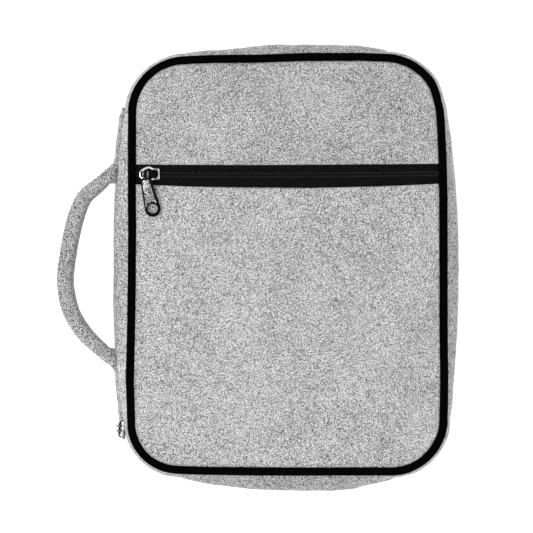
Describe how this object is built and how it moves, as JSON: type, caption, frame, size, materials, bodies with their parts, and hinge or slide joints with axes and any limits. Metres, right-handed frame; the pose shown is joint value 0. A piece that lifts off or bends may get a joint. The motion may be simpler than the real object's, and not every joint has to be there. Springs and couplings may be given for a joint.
{
  "type": "zipped book carrying case",
  "caption": "Padded zip-round case for a book, with a side handle, black bound edges and a zipped front pocket.",
  "frame": {"origin": "middle of the back panel's flat resting face", "axes": "+X to the right of the front panel, +Y to its top, +Z out of it; the case lies on its back"},
  "size_m": [0.2455, 0.2716, 0.0672],
  "materials": {
    "heather_fabric": "light grey heather cloth, matt",
    "black_binding": "black ribbed binding tape, matt",
    "zip_tape": "black woven zip tape",
    "zip_coil": "black nylon coil",
    "nickel_hardware": "nickel-plated die casting"
  },
  "bodies": {
    "case": {"back_panel": "heather_fabric", "pocket_lining": "heather_fabric", "pocket_lower": "heather_fabric", "pocket_upper": "heather_fabric", "gusset_back": "heather_fabric", "gusset_front": "heather_fabric", "spine": "heather_fabric", "handle": "heather_fabric", "binding_back": "black_binding", "binding_front": "black_binding", "pocket_tape_upper": "zip_tape", "pocket_tape_lower": "zip_tape", "main_tape_back": "zip_tape", "main_tape_front": "zip_tape", "pocket_chain": "zip_coil", "main_chain": "zip_coil", "pocket_slider": "nickel_hardware", "main_slider": "nickel_hardware"},
    "pocket_tab": {"pocket_puller": "nickel_hardware"},
    "main_tab": {"main_puller": "nickel_hardware"}
  },
  "joints": [
    {"name": "pocket_tab_hinge", "type": "hinge", "parent": "case", "child": "pocket_tab", "pos_m": [-0.08235, 0.05464, 0.0651], "axis": [-1, 0, 0], "range_deg": [0, 165]},
    {"name": "main_tab_hinge", "type": "hinge", "parent": "case", "child": "main_tab", "pos_m": [-0.10214, -0.10245, 0.02786], "axis": [0, 1, 0], "range_deg": [0, 160]}
  ]
}
